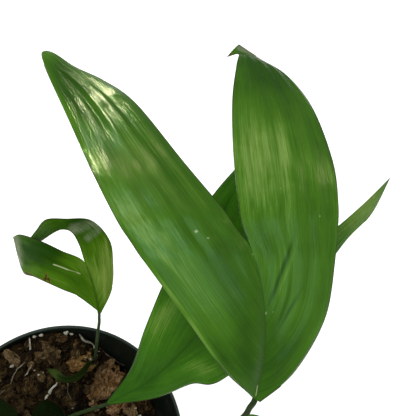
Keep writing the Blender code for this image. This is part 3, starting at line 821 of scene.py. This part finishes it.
def close_blade(name, leaf, halves, finishes):
    """Joins two halves at the midrib, paints their paler and darker places (partly painted sheen and shade)
    and marks, and thickens them.
    """
    blade = join_pieces(name, halves)
    weld(blade, BLADE_WELD)
    painted = blade.data.attributes
    for vert in blade.data.vertices:
        x, y = vert.co.x / MM, vert.co.y / MM
        total = 0
        for px, py, long, wide, heading, strength in leaf["tone_sheen_and_shade_patches"]:
            c, s = math.cos(math.radians(heading)), math.sin(math.radians(heading))
            u, v = (x - px) * c + (y - py) * s, (y - py) * c - (x - px) * s
            total += strength * math.exp(-((u / long) ** 2) - (v / wide) ** 2)
        painted["tone"].data[vert.index].value = total
        for kind, lines in leaf["marks"].items():
            painted[kind].data[vert.index].value = max(on_mark(x, y, mark) for mark in lines)
    for surface in finishes:
        blade.data.materials.append(surface)
    thicken = blade.modifiers.new("thickness", "SOLIDIFY")
    thicken.thickness = BLADE_THICKNESS * MM
    thicken.offset = 0
    thicken.material_offset = 1
    apply_modifiers(blade)
    smooth_by_angle(blade, 60)
    return blade


def blade_finish(name, deep, fresh, pale, roughness, gloss):
    """Leaf green in streaks along the veins, darker or paler by tone, with a brown margin and marks."""
    made, tree, inputs = finish(name, fresh, roughness, gloss)
    feed(inputs["Specular Tint"], GLOSS_TINT)
    veins, place = map_place(tree, "veins"), object_place(tree)
    tone, margin, rib, spots, grey, dry = [painted_value(tree, kind) for kind in PAINTED]
    fine = grain(veins, 1, detail=4, rough=0.6, stretch=(44, 1.2, 1))
    broad = grain(veins, 1, detail=2, stretch=(8, 0.6, 1))
    threads = grain(veins, 1, detail=2, rough=0.5, stretch=(130, 0.7, 1))
    ridges = grain(veins, 1, detail=3, rough=0.5, stretch=(34, 0.5, 1))
    mottle, worn = grain(place, 60, detail=3), grain(place, 170, detail=3)
    lean = spread(fine, 0.3, 0.7, -0.13, 0.13)
    for speckle, low, reach in ((broad, 0.3, 0.1), (mottle, 0.3, 0.12), (threads, 0.35, 0.12)):
        lean = plus(lean, spread(speckle, low, 1 - low, -reach, reach))
    # Tone is partly the leaf's own, partly painted sheen where paler and painted shade where darker
    total = plus(lean, times(tone, spread(fine, 0.3, 0.7, 0.7, 1.3)))
    green = blend(spread(total, 0.3, 0.95), blend(spread(total, -0.5, 0.3), deep, fresh), pale)
    # Deep green along the midrib groove: painted shade
    rib_groove_shade = blend(spread(rib, 0.1, 1.2, 0.6, 0), green, deep)
    browned = times(spread(margin, 0.2, 0.8, 0.85, 0), spread(tone, 0.1, 0.4, 1, 0.2))
    edged = blend(browned, rib_groove_shade, MARGIN_BROWN)
    patchy = spread(plus(fine, mottle), 0.75, 1.2)
    # The grey marks, broken up by noise: a painted sheen
    painted_grey_sheen = times(spread(grey, 0.15, 0.8, 0, 1.3), patchy)
    greyed = blend(painted_grey_sheen, edged, GREY_SHEEN)
    haloed = blend(spread(dry, 0.05, 0.4, 0, 0.7), greyed, YELLOWED)
    crisp = spread(times(dry, patchy), 0.18, 0.34, 0, 0.9)
    dried = blend(crisp, haloed, DRIED)
    feed(inputs["Base Color"], blend(spread(spots, 0.35, 0.75, 0, 0.85), dried, PALE_SPOT))
    dull = plus(spread(fine, 0.3, 0.7, -0.04, 0.05), spread(worn, 0.45, 0.65, 0, 0.12))
    feed(inputs["Roughness"], plus(dull, roughness))
    uneven = plus(ridges, plus(times(worn, 0.4), times(threads, 0.4)))
    raise_grain(inputs, uneven, 0.21)
    return made


def underside_finish(name, green):
    """The paler, duller back of a leaf, with its veins standing out."""
    made, tree, inputs = finish(name, green, 0.6, 0.3)
    lines = grain(map_place(tree, "veins"), 1, detail=3, stretch=(34, 0.8, 1))
    darker = tuple(0.7 * part for part in green)
    feed(inputs["Base Color"], blend(spread(lines, 0.35, 0.65), darker, green))
    raise_grain(inputs, lines, 0.3)
    return made


def stalk(name, leaf, skin):
    """A petiole that runs on as the midrib under the blade: a round, tapering stalk."""
    petiole = points_of(leaf, "petiole")
    midrib = points_of(leaf, "rachis") + [fork_point(leaf)]
    widths = leaf["radii"]
    under, under_widths = [], []
    for third in range(3 * len(midrib) - 5):
        radius = along_curve(widths[len(petiole) :], third / 3)
        under.append(along_curve(midrib, third / 3) - np.array([0, 0, radius + STALK_GAP]))
        under_widths.append(radius)
    neck = under[0] + NECK_SHARE * (petiole[-1] - under[0])
    points = petiole + [neck] + under
    radii = widths[: len(petiole)] + [under_widths[0]] + under_widths
    path = bpy.data.curves.new(name, "CURVE")
    path.dimensions = "3D"
    path.bevel_depth = MM
    path.bevel_resolution = 5
    path.use_fill_caps = True
    line = path.splines.new("POLY")
    line.points.add(leaf["steps"])
    for i, point in enumerate(line.points):
        place = i / leaf["steps"] * (len(points) - 1)
        point.co = (*(along_curve(points, place) * MM), 1)
        point.radius = along_curve(radii, place)
    select_only(new_object(name, path))
    bpy.ops.object.convert(target="MESH")
    stem = bpy.context.object
    weld(stem, STALK_WELD)
    smooth_by_angle(stem, 60)
    stem.data.materials.append(skin)
    return stem


def grow(node, leaf, surface, skin, stem="petiole"):
    """One leaf: its blade and its stalk, in place of a node of the frame."""
    halves = [half_blade(leaf, side) for side in SIDES]
    blade = close_blade(node + "_blade", leaf, halves, (surface, leaf_back))
    for piece in (blade, stalk(f"{node}_{stem}", leaf, skin)):
        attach(piece, "root")
        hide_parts(node)


glossy_green = blade_finish(
    "glossy leaf", (0.024, 0.095, 0.003), (0.071, 0.212, 0.008), (0.21, 0.37, 0.07), 0.13, 0.26
)
leaf_back = underside_finish("leaf back", (0.1, 0.17, 0.045))
petiole_skin = stem_finish("petiole skin", (0.01, 0.03, 0.003), (0.034, 0.048, 0.01))
grow("frond_a", LEAF_A, glossy_green, petiole_skin)


# Frond B
# Nearly as long as frond A and lower down behind it, so that only its foot, the right lobe's tip and
# a corner of the left lobe show. Its surface is a deeper green in the large leaf's shade.
LEAF_B = {
    **LEAF,
    "petiole": [(-29, -1, 139), (-24, 3, 151), (-10, 10, 162), (3, 16, 172), (13, 18, 187)],
    "rachis": [(23, 20, 200), (46, 31, 214), (65, 47, 228), (90, 73, 240)],
    "left_edge": [
        (22, 21, 200), (35, 38, 210), (42, 60, 225), (53, 88, 238), (67, 117, 244), (85, 143, 246),
        (106, 169, 244), (138, 212, 240),
    ],
    "left_lobe": [(108, 97, 245), (117, 134, 247), (128, 169, 245), (138, 212, 240)],
    "right_edge": [
        (23, 19, 200), (51, 22, 210), (70, 28, 219), (87, 29, 227), (127, 60, 234), (174, 114, 236),
        (201, 139, 232), (225, 172, 228),
    ],
    "right_lobe": [(124, 94, 243), (160, 118, 241), (193, 144, 236), (225, 172, 228)],
    "radii": [1.8, 1.6, 1.4, 1.2, 1.15, 1.1, 0.9, 0.75, 0.6],
    "grid": (150, 50),
    "steps": 130,
    "tone_sheen_and_shade_patches": [
        (48, 55, 34, 9, 52, 0.2), (80, 33, 16, 5, 160, 0.35), (34, 30, 14, 6, 45, 0.05),
        (96, 120, 40, 25, 60, -0.3), (196, 146, 40, 12, 45, 0.8), (60, 40, 24, 3, 38, -0.15),
        (40, 30, 16, 10, 40, -0.35), (33, 36, 22, 4, 62, -0.3), (58, 68, 30, 9, 60, 0.12),
        (50, 66, 16, 8, 50, 0.4), (72, 40, 26, 5, 25, 0.25),
    ],
    "marks": {"pale": [(205, 152, 205.3, 152.3, 0.7)], "dry": [(223, 170, 225, 172, 1.5)]},
}
low_green = blade_finish(
    "lower leaf", (0.014, 0.072, 0.002), (0.052, 0.188, 0.005), (0.24, 0.37, 0.07), 0.24, 0.2
)
grow("frond_b", LEAF_B, low_green, petiole_skin)


# Frond C
# A small curled leaf of a seedling of its own, on a thin petiole that stands in the mix. Its right
# lobe arches over and dips under the left lobe, which hangs down with a dull, bent end.
LEAF_C = {
    **LEAF,
    "petiole": [(20, 60, 111), (20, 61, 126), (19, 67, 150), (18, 73, 182)],
    "rachis": [(17, 76, 195), (13, 89, 203), (6, 105, 210)],
    "left_edge": [
        (17, 77, 195), (4, 86, 198), (-7, 90, 200), (-18, 96, 196), (-25, 101, 190), (-32, 106.5, 180),
        (-36, 118, 174), (-40, 131.5, 176),
    ],
    "left_lobe": [(-8, 113, 207), (-18, 120, 201), (-27, 126.5, 193), (-36, 132.5, 183), (-41, 133.5, 175)],
    "right_edge": [
        (18, 76, 195), (24, 91, 200), (24, 105, 208), (21, 119, 214), (9, 130, 219), (-7, 130.5, 219),
        (-19, 131.5, 214), (-25, 129, 201), (-29.5, 127, 189), (-32, 124.5, 183),
    ],
    "right_lobe": [
        (2, 115, 214), (-3, 122, 217), (-9, 124.5, 215), (-14, 124, 210), (-19, 124, 200),
        (-23, 124.5, 191), (-30, 123.5, 183),
    ],
    "radii": [1.3, 1.2, 1.1, 1, 0.95, 0.8, 0.6],
    "grid": (190, 60),
    "steps": 100,
    "pleats": 3.5,
    "depth": (0.8, 0.8),
    "belly": 0.06,
    "groove": 0.6,
    "tone_sheen_and_shade_patches": [
        (19, 98, 24, 8, 100, 0.75), (-21, 115, 22, 9, 150, -0.6), (3, 103, 12, 6, 150, 0.5),
        (-12, 96, 22, 3.5, 150, 0.35), (-2, 128, 18, 8, 10, -0.4), (20, 110, 9, 0.8, 100, 0.9),
        (23.5, 104, 7, 0.7, 95, 0.8), (19, 92, 8, 0.8, 95, 0.6),
    ],
    "marks": {
        "pale": [(-13, 105, -4, 100.6, 0.42), (-4, 100.6, 1, 98.8, 0.2), (1.5, 98.6, 3.5, 97.9, 0.42)],
        # Grey: painted sheen on the arch and along the left lobe's bent end
        "grey": [(-37, 114, -41, 132, 4.2), (-2, 124, 14, 129, 3.4), (7, 119, 13, 124, 2.4)],
        "dry": [
            (-17, 100, -17.5, 96.5, 0.6), (-15.6, 97.5, -14.6, 94.6, 0.5), (-18.5, 97.6, -15, 96.6, 0.5),
            (-30.6, 106, -24.2, 100.4, 0.35), (-24.2, 100.4, -18, 96.2, 0.3),
        ],
    },
}
young_green = blade_finish(
    "young leaf", (0.014, 0.056, 0.002), (0.07, 0.18, 0.005), (0.24, 0.36, 0.06), 0.3, 0.035
)
seedling_skin = stem_finish("seedling skin", (0.035, 0.07, 0.024), (0.11, 0.13, 0.065))
grow("frond_c", LEAF_C, young_green, seedling_skin)


# Frond D
# A low, rounded young leaf of the first cane, coloured near black as painted shade. It comes out of
# the cane's top on a short petiole and lies close over the mix.
LEAF_D = {
    **LEAF,
    "petiole": [(2, -24, 133), (2, -21, 140)],
    "rachis": [(1, -14, 143), (-1, -3, 145), (-2, 7, 145)],
    "left_edge": [
        (0, -14, 143), (-13, -5, 144), (-21, 8, 144), (-22, 19, 143), (-19, 27, 142), (-12, 30, 141),
    ],
    "left_lobe": [(0, 18, 144), (-4, 25, 142), (-12, 30, 141)],
    "right_edge": [(2, -15, 143), (15, -9, 145), (25, -3, 145), (34, 1, 143), (41, 4, 140), (47, 8, 137)],
    "right_lobe": [(12, 10, 145), (28, 12, 142), (47, 8, 137)],
    "radii": [1.6, 1.4, 1.2, 0.9, 0.6],
    "grid": (70, 30),
    "steps": 40,
    "pleats": 3.5,
    "depth": (0.5, 0.5),
    "groove": 0.5,
    "tone_sheen_and_shade_patches": [(0, 8, 60, 60, 0, -0.35)],
}
# Near-black green for the low leaves: painted shade
shade_darkened_green = blade_finish(
    "shaded leaf", (0.0015, 0.004, 0.0004), (0.01, 0.02, 0.002), (0.04, 0.07, 0.01), 0.5, 0.05
)
grow("frond_d", LEAF_D, shade_darkened_green, petiole_skin)


# Frond E
# A small leaf of the second cane, forked like the others and coloured dark as painted shade. It
# reaches out over the pot's lip to the left, on a short petiole.
LEAF_E = {
    **LEAF,
    "petiole": [(-34, -1, 139), (-35, 1, 150)],
    "rachis": [(-37, 6, 158), (-44, 16, 167), (-52, 26, 172)],
    "left_edge": [
        (-38, 5, 158), (-52, 8, 164), (-66, 15, 168), (-80, 22, 168), (-94, 29, 162), (-110, 36, 152),
    ],
    "left_lobe": [(-68, 29, 173), (-86, 34, 168), (-110, 36, 152)],
    "right_edge": [
        (-36, 7, 158), (-30, 19, 163), (-41, 29, 166), (-55, 43, 168), (-70, 61, 164), (-86, 76, 156),
    ],
    "right_lobe": [(-62, 40, 172), (-73, 55, 168), (-86, 76, 156)],
    "radii": [1.8, 1.6, 1.4, 1, 0.6],
    "grid": (80, 30),
    "steps": 40,
    "pleats": 3.5,
    "depth": (0.6, 0.6),
    "groove": 0.6,
}
grow("frond_e", LEAF_E, shade_darkened_green, petiole_skin)


# Frond F
# A leaf of the first cane that leans out to the right on a long petiole. It is forked and glossy, and
# as pale as frond A's lit side.
LEAF_F = {
    **LEAF,
    "petiole": [(4, -31, 132), (8, -33, 142), (26, -32, 168), (46, -26, 188)],
    "rachis": [(62, -22, 200), (82, -26, 213), (104, -32, 222)],
    "left_edge": [
        (61, -20, 200), (84, -7, 214), (104, 9.3, 220), (129, -1, 219), (160, -10, 213), (206, -20, 198),
    ],
    "left_lobe": [(132, -25, 224), (164, -22, 216), (206, -20, 198)],
    "right_edge": [
        (63, -24, 200), (84, -48, 208), (106, -70, 212), (128, -92, 206), (147, -108, 198),
        (163, -124, 186),
    ],
    "right_lobe": [(126, -58, 218), (146, -86, 207), (163, -124, 186)],
    "radii": [1.9, 1.8, 1.6, 1.5, 1.4, 1.1, 0.6],
    "grid": (120, 44),
    "steps": 110,
    "depth": (0.5, 0.5),
    "tone_sheen_and_shade_patches": [(104, 6, 20, 8, 0, 0.9)],
}
grow("frond_f", LEAF_F, glossy_green, petiole_skin)


# The shoot
# One narrow young leaf at the foot of frond C, coloured dark as painted shade, with a paler tip that
# is a painted highlight. It is folded along its midrib and arches low over the bark.
SHOOT = {
    **LEAF,
    "petiole": [(20, 55, 112), (19, 56, 124)],
    "rachis": [(16, 56, 132), (8, 46, 140), (-1, 43, 145), (-8, 46, 146)],
    "left_edge": [(16, 54, 132), (9, 43, 140), (-1, 40, 145), (-8, 43, 146), (-14, 50, 144)],
    "left_lobe": [(-14, 50, 144)],
    "right_edge": [(15, 58, 132), (7, 48, 140), (-1, 45, 145), (-7, 49, 146), (-14, 50, 144)],
    "right_lobe": [(-14, 50, 144)],
    "radii": [1.2, 1.1, 0.9, 0.8, 0.7, 0.6],
    "grid": (60, 12),
    "steps": 40,
    "pleats": 1,
    "depth": (0, 0),
    "groove": 0.2,
    "tone_sheen_and_shade_patches": [(-9, 46, 6, 5, 0, 0.8)],
}
# Dark green: painted shade
shade_darkened_shoot_green = blade_finish(
    "shoot leaf", (0.004, 0.01, 0.001), (0.022, 0.04, 0.006), (0.06, 0.09, 0.02), 0.5, 0.05
)
grow("shoot", SHOOT, shade_darkened_shoot_green, petiole_skin, stem="stalk")


# The floor
# A plain, pale sheet that the pot stands on, as wide as a room. It is brightly lit, so that it is
# nearly white in the picture.
FLOOR_SIZE = 6
deselect_all()
bpy.ops.mesh.primitive_plane_add(size=FLOOR_SIZE)
floor = bpy.context.object
floor.name = "pale_floor"
pale_floor, tree, inputs = finish("pale floor", (0.86, 0.86, 0.85), 0.8)
feed(inputs["Emission Color"], (1, 1, 0.99))
feed(inputs["Emission Strength"], 0.75)
floor.data.materials.append(pale_floor)


# Light
# Bright daylight low down on the near side under a dimmer, bluish ceiling, and a soft sun from the
# left. Small panes stand over and beyond the large leaves, and only their glossy tops mirror them.
HORIZON_LIGHT, CEILING_LIGHT = 1, 0.4
SUN_STRENGTH, SUN_SOFTNESS = 1.3, 30
SUN_COLOUR = (1, 0.97, 0.9)
SUN_TOWARDS = (-0.5, 0.25, 0.83)
CREAM, WARM, COOL = (1, 0.99, 0.7), (1, 0.97, 0.54), (0.6, 1, 1.1)
# Name, direction from the aim, distance in metres, aim, width and height in metres, beam in degrees,
# watts and colour
PANES = [
    ("lower_pane", (-0.03, 0.905, 0.42), 0.3, (9, 164, 306), 0.036, 0.03, 10, 0.0021, CREAM),
    ("inner_pane", (0.03, 0.82, 0.57), 0.3, (14, 152, 307), 0.036, 0.025, 7, 0.0007, CREAM),
    ("blue_pane", (-0.05, 0.76, 0.65), 0.3, (8, 141, 310), 0.09, 0.03, 24, 0.0009, COOL),
    ("upper_pane", (-0.25, 0.6, 0.76), 0.3, (-10, 119, 313), 0.028, 0.055, 9, 0.0046, CREAM),
    ("rim_pane", (-0.08, 0.44, 0.89), 0.3, (16, 98, 315), 0.06, 0.05, 12, 0.0004, COOL),
    ("upper_rail", (0.02, 0.67, 0.74), 0.3, (14, 124, 313), 0.1, 0.03, 24, 0.0011, WARM),
    ("side_pane", (0.2, 0.74, 0.64), 0.3, (28, 128, 313), 0.035, 0.04, 24, 0.001, WARM),
    ("right_pane", (0.66, 0.49, 0.57), 0.3, (124, 125, 314), 0.05, 0.07, 12, 0.0003, WARM),
    ("broad_pane", (0.08, 0.61, 0.79), 0.3, (92, 130, 314), 0.1, 0.1, 30, 0.0023, WARM),
    ("cool_pane", (-0.02, 0.18, 0.98), 0.3, (33, 84, 317), 0.1, 0.16, 24, 0.0024, COOL),
    ("sky_pane", (0.1, -0.1, 0.99), 1.5, (50, 60, 310), 1.6, 1.3, 180, 6.5, COOL),
]
world = bpy.data.worlds.new("daylight")
bpy.context.scene.world = world
world.use_nodes = True
sky = world.node_tree
backdrop = sky.nodes["Background"].inputs
feed(backdrop["Color"], (0.92, 0.98, 1))
looking = add(sky, "SeparateXYZ", Vector=add(sky, "TexCoord").outputs["Generated"])
near_side = spread(looking.outputs["Y"], -0.3, 0.4, HORIZON_LIGHT, 0.2)
low_down = spread(looking.outputs["Z"], 0.15, 0.55, 1, 0)
daylight = add(sky, "Mix")
for place, value in ((0, low_down), (2, CEILING_LIGHT), (3, near_side)):
    feed(daylight.inputs[place], value)
feed(backdrop["Strength"], daylight.outputs[0])


def pane(name, towards, distance, aim, width, height, beam, power, colour):
    """A window pane that only glossy surfaces mirror: an area light in a direction from its aim."""
    lamp = bpy.data.lights.new(name, "AREA")
    lamp.shape = "ELLIPSE"
    lamp.size, lamp.size_y = width, height
    lamp.spread = math.radians(beam)
    lamp.energy = power
    lamp.color = colour
    holder = new_object(name, lamp)
    holder.visible_diffuse = holder.visible_camera = False
    away = Vector(towards).normalized()
    holder.location = Vector(aim) * MM + away * distance
    holder.rotation_euler = away.to_track_quat("Z", "Y").to_euler()


sun = bpy.data.lights.new("soft_sun", "SUN")
sun.energy = SUN_STRENGTH
sun.angle = math.radians(SUN_SOFTNESS)
sun.color = SUN_COLOUR
sun_holder = new_object("soft_sun", sun)
sun_holder.visible_glossy = False
sun_holder.rotation_euler = Vector(SUN_TOWARDS).to_track_quat("Z", "Y").to_euler()
for name, *settings in PANES:
    pane(name, *settings)


# The camera
# Held above the pot and tipped towards the leaf tips, so that the pot leaves the picture at its
# lower left corner.
EYE_PLACE = (-12.1, -20.8, 578.6)
TIP, SWING = math.radians(28), math.radians(31)
LENS, SENSOR = 52, 36
eye = bpy.data.cameras.new("camera")
eye.lens = LENS
eye.sensor_width = SENSOR
camera = new_object("camera", eye)
aim = Matrix.Rotation(-SWING, 4, "Z") @ Matrix.Rotation(TIP, 4, "X") @ Matrix.Rotation(SWING, 4, "Z")
camera.matrix_world = Matrix.Translation(Vector(EYE_PLACE) * MM) @ aim
bpy.context.scene.camera = camera
bpy.context.scene.view_settings.view_transform = "Standard"
